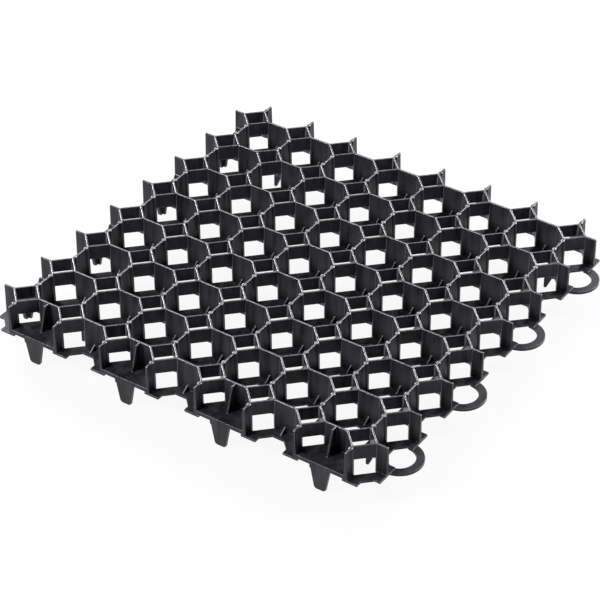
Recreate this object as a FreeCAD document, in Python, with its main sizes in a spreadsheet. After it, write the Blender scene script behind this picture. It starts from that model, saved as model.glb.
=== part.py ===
import FreeCAD, Part

import os
import Sketcher

# Grass paver grid: one moulded plastic piece, 8 by 8 cells, that lies on levelled ground.
# Octagonal cells for the turf alternate with small diagonal squares. The walls thin towards
# the rim. The square cells are walled only near the rim and stand open on four sides below.
# Two neighbouring sides carry ground stakes under raised landings, and the two sides across
# from them carry flat rings, which slip under the landings and over the stakes of the next grid.
# Plan: X and Y along the sides, Z up, origin under the middle of the outline at the stake tips.

CELLS = 8
STAKE_STEP = 2
STAKES_PER_SIDE = CELLS // STAKE_STEP

SIZES = {
    "pitch": 62.5,
    "body_height": 38.0,
    "stake_drop": 26.0,
    "rim_wall": 2.0,
    "draft_angle": 1.5,
    "floor_thickness": 2.4,
    "square_half": 17.8,
    "floor_hole": 34.0,
    "lintel_depth": 17.0,
    "window_half": 11.3,
    "window_reach": 3.2,
    "landing_raise": 3.1,
    "landing_thickness": 5.0,
    "landing_clear": 54.0,
    "stake_root_width": 25.6,
    "stake_tip_width": 13.4,
    "stake_thickness": 3.4,
    "stake_tip_cut": 1.8,
    "collar_width": 24.2,
    "collar_drop": 1.3,
    "collar_proud": 0.5,
    "rib_root": 12.0,
    "rib_tip": 6.5,
    "rib_thickness": 3.0,
    "brace_top": 7.6,
    "brace_foot": 17.0,
    "brace_thickness": 1.8,
    "gusset_height": 7.0,
    "gusset_reach": 10.5,
    "gusset_thickness": 1.5,
    "ring_radius": 27.1,
    "ring_hole_radius": 18.0,
    "ring_inset": 6.6,
    "ring_thickness": 3.2,
    "ring_drop": 2.1,
    "fin_root": 15.0,
    "fin_tip": 3.0,
    "fin_thickness": 3.0,
}

ROOT_HALF = 2 ** -0.5
OCTAGON_EDGE = 2 ** 0.5 - 1

doc = FreeCAD.newDocument("paver")
sheet = doc.addObject("Spreadsheet::Sheet", "dims")
for row, (alias, value) in enumerate(SIZES.items(), start=1):
    sheet.set(f"A{row}", alias)
    sheet.set(f"B{row}", str(value))
    sheet.setAlias(f"B{row}", alias)
doc.recompute()


def total(*lengths):
    """Sum of lengths, each a dictionary of sheet alias and factor."""
    result = {}
    for length in lengths:
        for alias, factor in length.items():
            result[alias] = result.get(alias, 0) + factor
    return result


def scaled(length, factor):
    return {alias: value * factor for alias, value in length.items()}


def number(length):
    return sum(factor * SIZES[alias] for alias, factor in length.items())


def formula(length):
    terms = [f"({factor!r}) * dims.{alias}" for alias, factor in length.items()]
    return " + ".join(terms) if terms else "0"


def role(body, name):
    return next(item for item in body.Origin.OriginFeatures if item.Role == name)


def new_body(name):
    body = doc.addObject("PartDesign::Body", name)
    body.AllowCompound = True
    return body


def new_sketch(body, name, plane, offset):
    sketch = body.newObject("Sketcher::SketchObject", name)
    sketch.AttachmentSupport = (role(body, plane), [""])
    sketch.MapMode = "FlatFace"
    sketch.setExpression("AttachmentOffset.Base.z", formula(offset))
    return sketch


def bind(sketch, constraint, length):
    index = sketch.addConstraint(constraint)
    sketch.setExpression(f"Constraints[{index}]", formula(length))


def place(sketch, geometry, point, x, y):
    bind(sketch, Sketcher.Constraint("DistanceX", geometry, point, number(x)), x)
    bind(sketch, Sketcher.Constraint("DistanceY", geometry, point, number(y)), y)


def polygon(sketch, points):
    """Closed outline with both coordinates of every corner tied to the sheet."""
    spots = [FreeCAD.Vector(number(x), number(y), 0) for x, y in points]
    count = len(spots)
    for index in range(count):
        sketch.addGeometry(Part.LineSegment(spots[index], spots[(index + 1) % count]), False)
    for index in range(count):
        sketch.addConstraint(Sketcher.Constraint("Coincident", index, 2, (index + 1) % count, 1))
    for index, (x, y) in enumerate(points):
        place(sketch, index, 1, x, y)


def around(centre_x, centre_y, points):
    return [(total(centre_x, x), total(centre_y, y)) for x, y in points]


def octagon_points(flat, edge):
    """Octagon with flats at the given distance and flat sides of the given half length."""
    away = scaled(flat, -1)
    back = scaled(edge, -1)
    return [(flat, back), (flat, edge), (edge, flat), (back, flat),
            (away, edge), (away, back), (back, away), (edge, away)]


def pad(body, name, sketch, length, reverse=False, middle=False):
    feature = body.newObject("PartDesign::Pad", name)
    feature.Profile = sketch
    feature.setExpression("Length", formula(length))
    feature.Reversed = reverse
    if middle:
        feature.SideType = "Symmetric"
    feature.Refine = False
    body.Tip = feature
    doc.recompute()
    return feature


def draft(body, name, feature):
    """Lean the upright faces inwards from the feature's top face down."""
    upright = []
    top = []
    for index, face in enumerate(feature.Shape.Faces, start=1):
        tilt = face.normalAt(0, 0).z
        if abs(tilt) < 0.001:
            upright.append(f"Face{index}")
        if tilt > 0.999:
            top.append(f"Face{index}")
    leaning = body.newObject("PartDesign::Draft", name)
    leaning.Base = (feature, upright)
    leaning.NeutralPlane = (feature, top)
    leaning.Reversed = True
    leaning.setExpression("Angle", "dims.draft_angle")
    leaning.Refine = False
    body.Tip = leaning
    doc.recompute()


def chamfer(body, name, feature, edges, length):
    cut = body.newObject("PartDesign::Chamfer", name)
    cut.Base = (feature, edges)
    cut.setExpression("Size", formula(length))
    cut.Refine = False
    body.Tip = cut
    doc.recompute()


def set_steps(body, pattern, count_x, count_y, steps):
    pattern.Direction = (role(body, "X_Axis"), [""])
    pattern.Occurrences = count_x
    pattern.setExpression("Length", f"{max(count_x - 1, 1) * steps} * dims.pitch")
    pattern.Direction2 = (role(body, "Y_Axis"), [""])
    pattern.Occurrences2 = count_y
    pattern.setExpression("Length2", f"{max(count_y - 1, 1) * steps} * dims.pitch")


def grid(body, name, count_x, count_y, steps=1):
    """Repeat all that the body holds so far."""
    pattern = body.newObject("PartDesign::LinearPattern", name)
    pattern.TransformMode = "Whole shape"
    set_steps(body, pattern, count_x, count_y, steps)
    pattern.Refine = False
    body.Tip = pattern
    doc.recompute()
    return pattern


def grid_both_ways(body, name, features, count_x, count_y, steps=1):
    """Grid of the features, or else of the whole body, and the same across the plan's diagonal."""
    diagonal = body.newObject("PartDesign::Plane", f"{name}_diagonal")
    diagonal.AttachmentSupport = (role(body, "XZ_Plane"), [""])
    diagonal.MapMode = "FlatFace"
    diagonal.AttachmentOffset = FreeCAD.Placement(
        FreeCAD.Vector(0, 0, 0), FreeCAD.Rotation(FreeCAD.Vector(0, 1, 0), 45))
    both = body.newObject("PartDesign::MultiTransform", name)
    pattern = doc.addObject("PartDesign::LinearPattern", f"{name}_steps")
    mirror = doc.addObject("PartDesign::Mirrored", f"{name}_across")
    body.addObject(pattern)
    body.addObject(mirror)
    set_steps(body, pattern, count_x, count_y, steps)
    mirror.MirrorPlane = (diagonal, [""])
    if features:
        both.Originals = features
    else:
        both.TransformMode = "Whole shape"
    both.Transformations = [pattern, mirror]
    both.Refine = False
    body.Tip = both
    doc.recompute()
    return both


# Levels above the stake tips.
base = {"stake_drop": 1}
floor_top = total(base, {"floor_thickness": 1})
rim = total(base, {"body_height": 1})
landing_bottom = total(base, {"landing_raise": 1})
landing_top = total(landing_bottom, {"landing_thickness": 1})

# The outline's near corner, which is also the middle of the corner octagon, and cell centres.
corner = {"pitch": -CELLS / 2, "ring_radius": -0.5, "ring_inset": 0.5}
far_edge = total(corner, {"pitch": CELLS})
first_half = total(corner, {"pitch": 0.5})
first_cell = total(corner, {"pitch": 1})

# Turf cells: drafted octagonal cores down to the floor, with half cells along the sides,
# and the octagonal root hole through the floor below each.
cell_cores = new_body("cell_cores")
cell_flat = {"pitch": 0.5, "rim_wall": -0.5}
cell_edge = {"pitch": 0.5, "square_half": -1, "rim_wall": 0.5 - ROOT_HALF}
cell_sketch = new_sketch(cell_cores, "cell_mouth", "XY_Plane", rim)
polygon(cell_sketch, around(corner, corner, octagon_points(cell_flat, cell_edge)))
cell = pad(cell_cores, "cell_core", cell_sketch, {"body_height": 1, "floor_thickness": -1},
           reverse=True)
draft(cell_cores, "cell_draft", cell)
hole_flat = {"floor_hole": 0.5}
hole_edge = {"floor_hole": 0.5 * OCTAGON_EDGE}
hole_sketch = new_sketch(cell_cores, "root_hole_shape", "XY_Plane", base)
polygon(hole_sketch, around(corner, corner, octagon_points(hole_flat, hole_edge)))
pad(cell_cores, "root_hole", hole_sketch, {"floor_thickness": 1.5})
grid(cell_cores, "cells", CELLS + 1, CELLS + 1)

# Room for the neighbour's ring under every second half cell of the two stake sides.
room_flat = {"landing_clear": 0.5}
room_edge = {"landing_clear": 0.5 * OCTAGON_EDGE}
room_sketch = new_sketch(cell_cores, "ring_room_shape", "XY_Plane", base)
polygon(room_sketch, around(first_cell, corner, octagon_points(room_flat, room_edge)))
room = pad(cell_cores, "ring_room", room_sketch, {"landing_raise": 1})
grid_both_ways(cell_cores, "ring_rooms", [room], STAKES_PER_SIDE, 1, STAKE_STEP)

# Small diagonal squares: a drafted mouth, and below its walls a cross-shaped space
# that leaves a post at each corner.
square_cores = new_body("square_cores")
mouth = {"square_half": 1, "rim_wall": -ROOT_HALF}
mouth_back = scaled(mouth, -1)
square_sketch = new_sketch(square_cores, "square_mouth", "XY_Plane", rim)
polygon(square_sketch, around(first_half, first_half, [
    (mouth, {}), ({}, mouth), (mouth_back, {}), ({}, mouth_back)]))
square = pad(square_cores, "square_core", square_sketch, {"lintel_depth": 1.1}, reverse=True)
draft(square_cores, "square_draft", square)
arm = {"square_half": 0.5, "window_reach": ROOT_HALF}
side = {"window_half": ROOT_HALF}
outer = total(arm, side)
inner = total(arm, scaled(side, -1))
post = {"window_half": 2 * ROOT_HALF}
outer_back = scaled(outer, -1)
inner_back = scaled(inner, -1)
post_back = scaled(post, -1)
window_sketch = new_sketch(square_cores, "window_cross", "XY_Plane", base)
polygon(window_sketch, around(first_half, first_half, [
    (outer, inner), (inner, outer), ({}, post), (inner_back, outer),
    (outer_back, inner), (post_back, {}), (outer_back, inner_back), (inner_back, outer_back),
    ({}, post_back), (inner, outer_back), (outer, inner_back), (post, {})]))
pad(square_cores, "window", window_sketch, {"body_height": 1, "lintel_depth": -1})
grid(square_cores, "squares", CELLS, CELLS)

# Landing: the raised solid floor of every second half cell of the two stake sides.
stake_sides = new_body("stake_sides")
landing_flat = {"pitch": 0.5}
landing_edge = {"pitch": 0.5, "square_half": -1}
landing_far = scaled(landing_flat, -1)
landing_back = scaled(landing_edge, -1)
landing_sketch = new_sketch(stake_sides, "landing_shape", "XY_Plane", landing_bottom)
polygon(landing_sketch, around(first_cell, corner, [
    (landing_far, {}), (landing_flat, {}), (landing_flat, landing_edge),
    (landing_edge, landing_flat), (landing_back, landing_flat), (landing_far, landing_edge)]))
pad(stake_sides, "landing", landing_sketch, {"landing_thickness": 1})

# Stake: a flat tapered blade with clipped tip corners, a collar that stands a little proud of
# the blade's front, flush with the outline, and a tapered rib behind.
root = total(landing_bottom, {"landing_thickness": 0.5})
blade_front = total(corner, {"collar_proud": 1})
blade_sketch = new_sketch(stake_sides, "stake_blade_shape", "XZ_Plane", scaled(blade_front, -1))
polygon(blade_sketch, around(first_cell, {}, [
    ({"stake_root_width": -0.5}, root), ({"stake_tip_width": -0.5}, {}),
    ({"stake_tip_width": 0.5}, {}), ({"stake_root_width": 0.5}, root)]))
blade = pad(stake_sides, "stake_blade", blade_sketch, {"stake_thickness": 1, "collar_proud": -1},
            reverse=True)
tip_corners = [f"Edge{index}" for index, edge in enumerate(blade.Shape.Edges, start=1)
               if edge.BoundBox.ZMax < 0.001 and edge.BoundBox.XLength < 0.001]
chamfer(stake_sides, "stake_tip", blade, tip_corners, {"stake_tip_cut": 1})
collar_low = total(base, {"collar_drop": -1})
collar_sketch = new_sketch(stake_sides, "stake_collar_shape", "XZ_Plane", scaled(corner, -1))
polygon(collar_sketch, around(first_cell, {}, [
    ({"stake_root_width": -0.5}, root), ({"collar_width": -0.5}, collar_low),
    ({"collar_width": 0.5}, collar_low), ({"stake_root_width": 0.5}, root)]))
pad(stake_sides, "stake_collar", collar_sketch, {"collar_proud": 2}, reverse=True)
blade_middle = total(corner, {"stake_thickness": 0.5})
rib_root = total(corner, {"rib_root": 1})
rib_tip = total(corner, {"rib_tip": 1})
rib_sketch = new_sketch(stake_sides, "stake_rib_shape", "YZ_Plane", first_cell)
polygon(rib_sketch, [(blade_middle, {}), (rib_tip, {}), (rib_root, root), (blade_middle, root)])
pad(stake_sides, "stake_rib", rib_sketch, {"rib_thickness": 1}, middle=True)

# Brace: a full-height triangular web from the landing to the wall behind it.
wall_line = first_half
brace_low = total(landing_bottom, {"landing_thickness": 0.5})
brace_sketch = new_sketch(stake_sides, "brace_shape", "YZ_Plane", first_cell)
polygon(brace_sketch, [
    (wall_line, brace_low), (wall_line, rim),
    (total(wall_line, {"brace_top": -1}), rim), (total(wall_line, {"brace_foot": -1}), landing_top),
    (total(wall_line, {"brace_foot": -1}), brace_low)])
pad(stake_sides, "brace", brace_sketch, {"brace_thickness": 1}, middle=True)
grid_both_ways(stake_sides, "stakes", [], STAKES_PER_SIDE, 1, STAKE_STEP)

# Small gussets at the foot of every full wall.
gusset_webs = new_body("gusset_webs")
gusset_low = total(base, {"floor_thickness": 0.5})
gusset_sketch = new_sketch(gusset_webs, "gusset_shape", "YZ_Plane", first_cell)
polygon(gusset_sketch, [
    (wall_line, gusset_low), (wall_line, total(floor_top, {"gusset_height": 1})),
    (total(wall_line, {"gusset_reach": -1}), floor_top),
    (total(wall_line, {"gusset_reach": -1}), gusset_low)])
gusset = pad(gusset_webs, "gusset", gusset_sketch, {"gusset_thickness": 1}, middle=True)
grid_both_ways(gusset_webs, "gussets", [gusset], CELLS - 1, CELLS)

# Flat half rings past the two other sides, in line with the landings and a little below the floor.
link_rings = new_body("link_rings")
ring_line = total(far_edge, {"ring_inset": -1})
ring_outer = {"ring_radius": 1}
ring_inner = {"ring_hole_radius": 1}
ring_sketch = new_sketch(link_rings, "ring_shape", "XY_Plane", total(base, {"ring_drop": -1}))
ring_centre = FreeCAD.Vector(number(ring_line), number(first_cell), 0)
quarter = FreeCAD.Units.Quantity("90 deg").getValueAs("rad").Value
for length in (ring_outer, ring_inner):
    circle = Part.Circle(ring_centre, FreeCAD.Vector(0, 0, 1), number(length))
    ring_sketch.addGeometry(Part.ArcOfCircle(circle, -quarter, quarter), False)
for way in (-1, 1):
    start = ring_centre + FreeCAD.Vector(0, way * number(ring_outer), 0)
    end = ring_centre + FreeCAD.Vector(0, way * number(ring_inner), 0)
    ring_sketch.addGeometry(Part.LineSegment(start, end), False)
for line, arc_end in ((2, 1), (3, 2)):
    ring_sketch.addConstraint(Sketcher.Constraint("Coincident", line, 1, 0, arc_end))
    ring_sketch.addConstraint(Sketcher.Constraint("Coincident", line, 2, 1, arc_end))
    ring_sketch.addConstraint(Sketcher.Constraint("Vertical", line))
ring_sketch.addConstraint(Sketcher.Constraint("Coincident", 1, 3, 0, 3))
ring_sketch.addConstraint(Sketcher.Constraint("Vertical", 0, 1, 0, 3))
ring_sketch.addConstraint(Sketcher.Constraint("Vertical", 0, 2, 0, 3))
place(ring_sketch, 0, 3, ring_line, first_cell)
bind(ring_sketch, Sketcher.Constraint("Radius", 0, number(ring_outer)), ring_outer)
bind(ring_sketch, Sketcher.Constraint("Radius", 1, number(ring_inner)), ring_inner)
ring = pad(link_rings, "ring", ring_sketch, {"ring_thickness": 1})
grid_both_ways(link_rings, "rings", [ring], 1, STAKES_PER_SIDE, STAKE_STEP)

# Four narrow fins under the corner cells keep the grid from sliding.
corner_fins = new_body("corner_fins")
fin_line = total(first_cell, {"floor_hole": 0.5})
fin_sketch = new_sketch(corner_fins, "fin_shape", "XZ_Plane", scaled(first_cell, -1))
polygon(fin_sketch, around(fin_line, {}, [
    ({}, {}), ({"fin_tip": 1}, {}), ({"fin_root": 1}, gusset_low), ({}, gusset_low)]))
pad(corner_fins, "fin", fin_sketch, {"fin_thickness": 1}, middle=True)
grid(corner_fins, "fins", 2, 2, CELLS - 2)

# The whole piece: a block of the full outline, opened by the cores, with the rest moulded on.
paver = new_body("paver_grid")
paver.Label = "paver_grid"
outline = new_sketch(paver, "outline", "XY_Plane", base)
polygon(outline, [(corner, corner), (far_edge, corner), (far_edge, far_edge), (corner, far_edge)])
pad(paver, "block", outline, {"body_height": 1})
opened = paver.newObject("PartDesign::Boolean", "opened")
opened.Type = "Cut"
opened.setObjects([cell_cores, square_cores])
opened.Refine = False
paver.Tip = opened
doc.recompute()
joined = paver.newObject("PartDesign::Boolean", "joined")
joined.Type = "Fuse"
joined.setObjects([stake_sides, gusset_webs, link_rings, corner_fins])
joined.Refine = True
paver.Tip = joined
doc.recompute()

for item in doc.Objects:
    for state in item.State:
        if state in ("Invalid", "Error"):
            raise RuntimeError(f"{item.Name} failed")
shape = paver.Shape
if shape.isNull() or not shape.isValid() or len(shape.Solids) != 1:
    raise RuntimeError(f"{paver.Label} is not one valid solid")

os.makedirs("parts", exist_ok=True)
shape.Solids[0].exportStep(os.path.join("parts", f"{paver.Label}.step"))
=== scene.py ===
import bmesh
import bpy
import math
from mathutils import Matrix, Vector


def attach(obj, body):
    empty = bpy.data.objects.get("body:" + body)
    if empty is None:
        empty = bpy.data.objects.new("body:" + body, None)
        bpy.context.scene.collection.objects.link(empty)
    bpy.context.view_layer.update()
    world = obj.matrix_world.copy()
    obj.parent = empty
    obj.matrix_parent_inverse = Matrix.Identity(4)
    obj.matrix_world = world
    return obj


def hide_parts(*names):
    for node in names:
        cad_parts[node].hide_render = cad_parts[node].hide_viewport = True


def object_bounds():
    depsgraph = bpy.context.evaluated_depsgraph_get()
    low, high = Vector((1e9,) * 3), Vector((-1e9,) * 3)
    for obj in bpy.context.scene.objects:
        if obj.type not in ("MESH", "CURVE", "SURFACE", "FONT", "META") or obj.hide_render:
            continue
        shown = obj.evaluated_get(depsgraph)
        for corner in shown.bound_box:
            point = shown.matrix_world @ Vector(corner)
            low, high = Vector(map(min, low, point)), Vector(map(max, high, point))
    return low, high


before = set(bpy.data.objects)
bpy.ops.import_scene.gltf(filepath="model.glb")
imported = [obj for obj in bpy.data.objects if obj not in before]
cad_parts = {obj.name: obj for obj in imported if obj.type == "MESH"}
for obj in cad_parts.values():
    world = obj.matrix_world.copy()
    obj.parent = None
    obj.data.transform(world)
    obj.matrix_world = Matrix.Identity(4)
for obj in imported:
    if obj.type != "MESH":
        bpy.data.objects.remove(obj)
cad_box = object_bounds()
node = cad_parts["paver_grid"]

MM = 0.001

# Grid and levels of the solid, which the small forms follow.
CELLS = 8
PITCH = 62.5 * MM
CORNER = cad_box[0][0]
RIM = cad_box[1][2]
FLOOR_UNDER = 26.0 * MM
FLOOR_TOP = 28.4 * MM
LANDING_TOP = 34.1 * MM
LINTEL_FOOT = RIM - 17.0 * MM

# Slope under the lintels: edges inside this half width of a small square rise.
LINTEL_INSIDE = 11.2 * MM
LINTEL_RISE = 1.6 * MM

# Ejector columns, spread from the middle of a wall.
BOSS_RADIUS = 2.6 * MM
BOSS_SPREAD = 9.7 * MM
BOSS_SIDES = 16

# Upright flats in one corner of each small square, measured from its middle.
FLAT_AT_RIM = 15.4 * MM
FLAT_AT_FOOT = 14.8 * MM
FLAT_HALF = 1.6 * MM
FLAT_DEPTH = 2.0 * MM
FLAT_BELOW_RIM = 0.5 * MM

# Floor webs in the same corners, measured from the square's middle, and inset from the floor's faces.
WEB_FRONT = 16.6 * MM
WEB_FRONT_HALF = 5.9 * MM
WEB_ROOT = 19.4 * MM
WEB_ROOT_HALF = 3.1 * MM
WEB_INSET = 0.05 * MM

# Rounding of the edges, in full along the rim and in part elsewhere.
EDGE_ROUND = 0.65 * MM
ROUND_STEPS = 2
RIM_WEIGHT = 1.0
EDGE_WEIGHT = 0.55
SHARP_EDGE = math.radians(30)

# Tolerances for sewing the mesh and finding its levels.
SEW = 0.02 * MM
SAME_LEVEL = 0.05 * MM
RIM_BAND = 0.2 * MM

# Upward share of the normal: between two values on the gussets' tops, and above one on level faces.
GUSSET_SLOPE = (0.5, 0.95)
LEVEL_FACE = 0.9

# Material slots of the moulding: body, edges with a painted highlight, and lighter tops.
BODY, EDGE, PALE_TOP = range(3)

# Colour sockets of a Mix node.
MIX_A, MIX_B, MIX_RESULT = 6, 7, 2

# Looks of the plastic: streaks drawn out upwards, a bluish sheen, a painted highlight along the rim that
# grows between two depths below it, level faces that are duller up to two heights above the landings, and a
# fine grain.
STREAK_DRAW = (1.0, 1.0, 0.12)
SHEEN_TINT = (0.92, 0.94, 1.0, 1)
RIM_HIGHLIGHT_DEPTH = (0.5 * MM, 0.05 * MM)
LOW_FADE = (0.3 * MM, 4 * MM)
LOW_DULLNESS = 0.22
GRAIN_DEPTH = 0.2 * MM

# Studio, in metres: half the floor's width, how much of it glows white, its grey, and the world's light.
FLOOR_HALF = 14.0
FLOOR_GLOW = 0.92
FLOOR_GREY = 0.55
WORLD_LIGHT = 0.03

# Camera fitted to the photograph.
PHOTO_LENS = 136.134
PHOTO_SENSOR = 36.0
PHOTO_VIEW = Matrix((
    (0.827060, -0.331691, 0.453821, 1.148065),
    (0.562104, 0.492879, -0.664160, -1.714299),
    (-0.003383, 0.804395, 0.594085, 1.532677),
    (0, 0, 0, 1)))
FAR_CLIP = 100.0


def slope_lintels(shape):
    """Raise the inner lower edge of the walls round each small square, so that they slope underneath."""
    for vert in shape.verts:
        if abs(vert.co.z - LINTEL_FOOT) > SAME_LEVEL:
            continue
        steps = [(vert.co[axis] - CORNER) / PITCH - 0.5 for axis in (0, 1)]
        across, along = [(step - round(step)) * PITCH for step in steps]
        if max(abs(across + along), abs(across - along)) < LINTEL_INSIDE * 2 ** 0.5:
            vert.co.z += LINTEL_RISE


def add_bosses(shape):
    """Round columns where the moulding was pushed out, two in each wall along Y."""
    height = RIM - FLOOR_TOP
    for column in range(CELLS):
        x = CORNER + (column + 0.5) * PITCH
        for row in range(CELLS + 1):
            for way in (-1, 1):
                y = CORNER + row * PITCH + way * BOSS_SPREAD
                if CORNER < y < CORNER + CELLS * PITCH:
                    made = bmesh.ops.create_cone(
                        shape, cap_ends=True, segments=BOSS_SIDES, radius1=BOSS_RADIUS, radius2=BOSS_RADIUS,
                        depth=height, matrix=Matrix.Translation((x, y, FLOOR_TOP + height / 2)))
                    for face in {face for vert in made["verts"] for face in vert.link_faces}:
                        face.material_index = PALE_TOP if face.normal.z > LEVEL_FACE else BODY


def add_prism(shape, foot, head, low, high, material):
    """Upright prism, from an outline at the foot and one at the head."""
    bottom = [shape.verts.new((x, y, low)) for x, y in foot]
    top = [shape.verts.new((x, y, high)) for x, y in head]
    faces = [shape.faces.new(bottom), shape.faces.new(top)]
    for corner in range(len(bottom)):
        faces.append(shape.faces.new((bottom[corner - 1], bottom[corner], top[corner], top[corner - 1])))
    for face in faces:
        face.material_index = material


def add_corners(shape):
    """Upright flats and floor webs in the small squares, where the walls along Y begin."""
    for column in range(CELLS):
        x = CORNER + (column + 0.5) * PITCH
        for row in range(CELLS):
            y = CORNER + (row + 0.5) * PITCH
            foot, head = [
                [(x - FLAT_HALF, y + reach), (x + FLAT_HALF, y + reach), (x, y + reach + FLAT_DEPTH)]
                for reach in (FLAT_AT_FOOT, FLAT_AT_RIM)]
            # The flats take the edge material, whose lighter colour is a painted highlight.
            add_prism(shape, foot, head, LINTEL_FOOT + LINTEL_RISE, RIM - FLAT_BELOW_RIM, EDGE)
            web = [(x - WEB_FRONT_HALF, y + WEB_FRONT), (x + WEB_FRONT_HALF, y + WEB_FRONT),
                   (x + WEB_ROOT_HALF, y + WEB_ROOT), (x - WEB_ROOT_HALF, y + WEB_ROOT)]
            add_prism(shape, web, web, FLOOR_UNDER + WEB_INSET, FLOOR_TOP - WEB_INSET, BODY)


def weigh_edges(shape):
    """Full rounding along the rim, slighter rounding on the other edges."""
    weight = shape.edges.layers.float.new("bevel_weight_edge")
    for edge in shape.edges:
        if edge.calc_face_angle(0) < SHARP_EDGE:
            continue
        at_rim = min(vert.co.z for vert in edge.verts) > RIM - RIM_BAND
        edge[weight] = RIM_WEIGHT if at_rim else EDGE_WEIGHT


def moulded_copy(source, name):
    """Copy of the CAD mesh, sewn together, with the small forms that the solid leaves out."""
    mesh = bpy.data.meshes.new(name)
    shape = bmesh.new()
    shape.from_mesh(source.data)
    bmesh.ops.remove_doubles(shape, verts=shape.verts, dist=SEW)
    slope_lintels(shape)
    for face in shape.faces:
        # Sloping gusset tops take the lighter material, which is a painted highlight.
        face.material_index = PALE_TOP if GUSSET_SLOPE[0] < face.normal.z < GUSSET_SLOPE[1] else BODY
    add_bosses(shape)
    add_corners(shape)
    bmesh.ops.recalc_face_normals(shape, faces=shape.faces)
    weigh_edges(shape)
    for face in shape.faces:
        face.smooth = True
    shape.to_mesh(mesh)
    shape.free()
    piece = bpy.data.objects.new(name, mesh)
    bpy.context.scene.collection.objects.link(piece)
    return piece


def round_edges(piece):
    """Round the weighed edges, with the edge material on the roundings, whose lighter colour is a painted
    highlight.
    """
    rounding = piece.modifiers.new("rounding", "BEVEL")
    rounding.width = EDGE_ROUND
    rounding.segments = ROUND_STEPS
    rounding.limit_method = "WEIGHT"
    rounding.use_clamp_overlap = False
    rounding.face_strength_mode = "FSTR_ALL"
    rounding.material = EDGE
    evening = piece.modifiers.new("evening", "WEIGHTED_NORMAL")
    evening.use_face_influence = True
    evening.weight = 100
    graph = bpy.context.evaluated_depsgraph_get()
    made = bpy.data.meshes.new_from_object(piece.evaluated_get(graph))
    piece.modifiers.clear()
    piece.data = made


def new_material(name):
    """New material with an empty node tree."""
    material = bpy.data.materials.new(name)
    material.use_nodes = True
    tree = material.node_tree
    tree.nodes.clear()
    return material, tree


def add(tree, kind, inputs=None, **values):
    """New node with its plain settings and the unlinked values of its sockets."""
    made = tree.nodes.new(kind)
    for key, value in values.items():
        setattr(made, key, value)
    for key, value in (inputs or {}).items():
        made.inputs[key].default_value = value
    return made


def cloudy_streaks(tree, geometry):
    """Soft streaks that run up the walls, from 0 to 1."""
    link = tree.links.new
    drawn = add(tree, "ShaderNodeVectorMath", {1: STREAK_DRAW}, operation="MULTIPLY")
    link(geometry.outputs["Position"], drawn.inputs[0])
    cloudy = add(tree, "ShaderNodeTexNoise", {"Scale": 130.0, "Detail": 4.0})
    link(drawn.outputs["Vector"], cloudy.inputs["Vector"])
    streaks = add(tree, "ShaderNodeMapRange", {"From Min": 0.34, "From Max": 0.66})
    link(cloudy.outputs["Fac"], streaks.inputs["Value"])
    return streaks.outputs["Result"]


def painted_rim_highlight(tree, geometry, height):
    """Painted highlight along the rim, in patches, from 0 to 1."""
    link = tree.links.new
    at_rim = add(tree, "ShaderNodeMapRange", {
        "From Min": RIM - RIM_HIGHLIGHT_DEPTH[0], "From Max": RIM - RIM_HIGHLIGHT_DEPTH[1]})
    link(height, at_rim.inputs["Value"])
    spots = add(tree, "ShaderNodeTexNoise", {"Scale": 420.0, "Detail": 2.0})
    link(geometry.outputs["Position"], spots.inputs["Vector"])
    patchy = add(tree, "ShaderNodeMapRange", {"From Min": 0.38, "From Max": 0.62, "To Min": 0.15})
    link(spots.outputs["Fac"], patchy.inputs["Value"])
    highlight_share = add(tree, "ShaderNodeMath", operation="MULTIPLY")
    link(at_rim.outputs["Result"], highlight_share.inputs[0])
    link(patchy.outputs["Result"], highlight_share.inputs[1])
    return highlight_share.outputs[0]


def low_dullness(tree, geometry, height):
    """Extra roughness of faces that look up, on the landings and below."""
    link = tree.links.new
    low = add(tree, "ShaderNodeMapRange", {
        "From Min": LANDING_TOP + LOW_FADE[0], "From Max": LANDING_TOP + LOW_FADE[1],
        "To Min": LOW_DULLNESS, "To Max": 0.0})
    link(height, low.inputs["Value"])
    facing = add(tree, "ShaderNodeSeparateXYZ")
    link(geometry.outputs["True Normal"], facing.inputs["Vector"])
    flat = add(tree, "ShaderNodeMath", operation="MULTIPLY", use_clamp=True)
    link(low.outputs["Result"], flat.inputs[0])
    link(facing.outputs["Z"], flat.inputs[1])
    return flat.outputs[0]


def fine_grain(tree, geometry):
    """Normal of the mould's fine grain."""
    link = tree.links.new
    grain = add(tree, "ShaderNodeTexNoise", {"Scale": 1500.0, "Detail": 2.0})
    link(geometry.outputs["Position"], grain.inputs["Vector"])
    bump = add(tree, "ShaderNodeBump", {"Strength": 0.12, "Distance": GRAIN_DEPTH})
    link(grain.outputs["Fac"], bump.inputs["Height"])
    return bump.outputs["Normal"]


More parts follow.
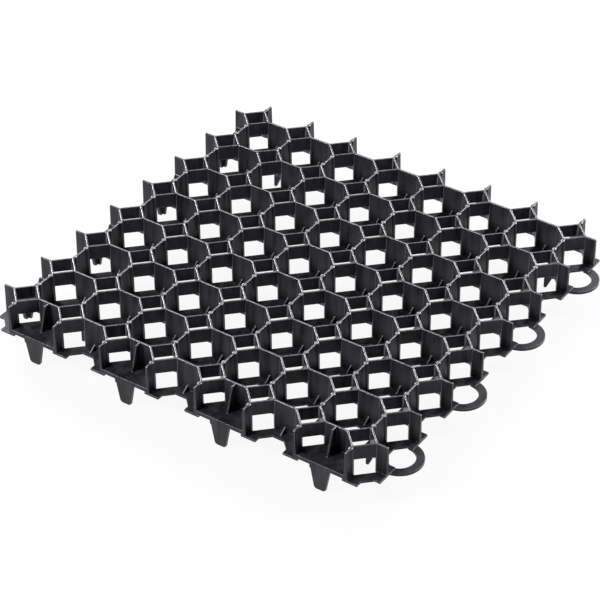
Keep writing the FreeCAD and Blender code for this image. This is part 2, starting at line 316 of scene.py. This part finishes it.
def moulded_plastic(name, dark, pale, rim_highlight_colour, roughness, shine):
    """Satin plastic: streaks in colour and sheen, a fine grain, and a painted highlight along the rim, in
    patches.
    """
    material, tree = new_material(name)
    link = tree.links.new
    out = add(tree, "ShaderNodeOutputMaterial")
    shader = add(tree, "ShaderNodeBsdfPrincipled", {
        "IOR": 1.5, "Specular IOR Level": shine, "Specular Tint": SHEEN_TINT})
    link(shader.outputs["BSDF"], out.inputs["Surface"])
    geometry = add(tree, "ShaderNodeNewGeometry")
    split = add(tree, "ShaderNodeSeparateXYZ")
    link(geometry.outputs["Position"], split.inputs["Vector"])
    height = split.outputs["Z"]
    streaks = cloudy_streaks(tree, geometry)

    colour = add(tree, "ShaderNodeMix", {MIX_A: (*dark, 1), MIX_B: (*pale, 1)}, data_type="RGBA")
    link(streaks, colour.inputs[0])
    # Painted highlight along the rim: a lighter colour in patches over the streaked colour.
    highlighted = add(tree, "ShaderNodeMix", {MIX_B: (*rim_highlight_colour, 1)}, data_type="RGBA")
    link(painted_rim_highlight(tree, geometry, height), highlighted.inputs[0])
    link(colour.outputs[MIX_RESULT], highlighted.inputs[MIX_A])
    link(highlighted.outputs[MIX_RESULT], shader.inputs["Base Color"])

    rough = add(tree, "ShaderNodeMapRange", {"To Min": roughness[0], "To Max": roughness[1]})
    link(streaks, rough.inputs["Value"])
    dull = add(tree, "ShaderNodeMath", operation="ADD")
    link(rough.outputs["Result"], dull.inputs[0])
    link(low_dullness(tree, geometry, height), dull.inputs[1])
    link(dull.outputs[0], shader.inputs["Roughness"])
    link(fine_grain(tree, geometry), shader.inputs["Normal"])
    return material


def floor_material():
    """White to the eye and in reflections, apart from a trace of the object's shadow."""
    material, tree = new_material("pale_floor")
    link = tree.links.new
    out = add(tree, "ShaderNodeOutputMaterial")
    path = add(tree, "ShaderNodeLightPath")
    mirrored = add(tree, "ShaderNodeMath", operation="ADD")
    link(path.outputs["Is Glossy Ray"], mirrored.inputs[0])
    link(path.outputs["Is Transmission Ray"], mirrored.inputs[1])
    seen = add(tree, "ShaderNodeMath", operation="ADD", use_clamp=True)
    link(path.outputs["Is Camera Ray"], seen.inputs[0])
    link(mirrored.outputs[0], seen.inputs[1])
    share = add(tree, "ShaderNodeMath", {1: FLOOR_GLOW}, operation="MULTIPLY")
    link(seen.outputs[0], share.inputs[0])
    matt = add(tree, "ShaderNodeBsdfDiffuse", {"Color": (FLOOR_GREY, FLOOR_GREY, FLOOR_GREY, 1)})
    glow = add(tree, "ShaderNodeEmission", {"Color": (1, 1, 1, 1), "Strength": 1.0})
    mix = add(tree, "ShaderNodeMixShader")
    link(share.outputs[0], mix.inputs["Fac"])
    link(matt.outputs["BSDF"], mix.inputs[1])
    link(glow.outputs["Emission"], mix.inputs[2])
    link(mix.outputs["Shader"], out.inputs["Surface"])
    return material


def floor():
    """Wide level floor under the stakes."""
    mesh = bpy.data.meshes.new("floor")
    corners = [(-FLOOR_HALF, -FLOOR_HALF, 0), (FLOOR_HALF, -FLOOR_HALF, 0),
               (FLOOR_HALF, FLOOR_HALF, 0), (-FLOOR_HALF, FLOOR_HALF, 0)]
    mesh.from_pydata(corners, [], [(0, 1, 2, 3)])
    piece = bpy.data.objects.new("floor", mesh)
    bpy.context.scene.collection.objects.link(piece)
    mesh.materials.append(floor_material())


def soft_box(name, place, size, power):
    """Large soft lamp turned to the middle of the object."""
    lamp = bpy.data.lights.new(name, "AREA")
    lamp.shape = "RECTANGLE"
    lamp.size, lamp.size_y = size
    lamp.energy = power
    piece = bpy.data.objects.new(name, lamp)
    bpy.context.scene.collection.objects.link(piece)
    piece.location = place
    way = Vector((0, 0, RIM / 2)) - piece.location
    piece.rotation_euler = way.to_track_quat("-Z", "Y").to_euler()


def plain_world():
    """Faint even light from all sides."""
    world = bpy.data.worlds.new("studio")
    bpy.context.scene.world = world
    world.use_nodes = True
    tree = world.node_tree
    tree.nodes.clear()
    out = add(tree, "ShaderNodeOutputWorld")
    dim = add(tree, "ShaderNodeBackground", {"Color": (1, 1, 1, 1), "Strength": WORLD_LIGHT})
    tree.links.new(dim.outputs["Background"], out.inputs["Surface"])


def photo_camera():
    """Camera where the photograph was taken from."""
    camera = bpy.data.cameras.new("camera")
    camera.sensor_fit = "HORIZONTAL"
    camera.sensor_width = PHOTO_SENSOR
    camera.lens = PHOTO_LENS
    camera.clip_end = FAR_CLIP
    view = bpy.data.objects.new("camera", camera)
    bpy.context.scene.collection.objects.link(view)
    view.matrix_world = PHOTO_VIEW
    bpy.context.scene.camera = view
    bpy.context.scene.view_settings.view_transform = "Standard"


# The moulding, in the place of the CAD node, with its materials in the order of the slots.
moulding = moulded_copy(node, "paver_moulding")
plastic = moulded_plastic(
    "black_moulded_plastic", dark=(0.0095, 0.0095, 0.0117), pale=(0.032, 0.032, 0.0376),
    rim_highlight_colour=(0.09, 0.09, 0.094), roughness=(0.27, 0.40), shine=0.24)
# Edge material: a lighter colour on the roundings and upright flats, which is a painted highlight.
edges = moulded_plastic(
    "plastic_edge_painted_highlight", dark=(0.05, 0.05, 0.056), pale=(0.08, 0.08, 0.087),
    rim_highlight_colour=(0.16, 0.16, 0.165), roughness=(0.22, 0.32), shine=0.9)
# Lighter material: a painted highlight on the gussets' sloping tops, and pale tops of the bosses.
pale_tops = moulded_plastic(
    "pale_tops_and_gusset_highlight", dark=(0.1, 0.1, 0.106), pale=(0.15, 0.15, 0.157),
    rim_highlight_colour=(0.34, 0.34, 0.348), roughness=(0.3, 0.4), shine=0.5)
for material in (plastic, edges, pale_tops):
    moulding.data.materials.append(material)
round_edges(moulding)
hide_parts("paver_grid")
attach(moulding, "root")
node.data.materials.clear()
node.data.materials.append(plastic)

# The studio: lamps at the sides and behind, because those light the rims as in the photograph.
floor()
soft_box("back_left_light", place=(-2.1, 0.7, 1.2), size=(1.0, 0.8), power=88)
soft_box("back_right_light", place=(0.1, 2.2, 1.2), size=(1.0, 0.8), power=64)
soft_box("right_light", place=(1.9, 1.8, 1.6), size=(1.4, 1.2), power=108)
soft_box("left_light", place=(-1.6, -2.16, 2.0), size=(1.4, 1.2), power=122)
plain_world()
photo_camera()
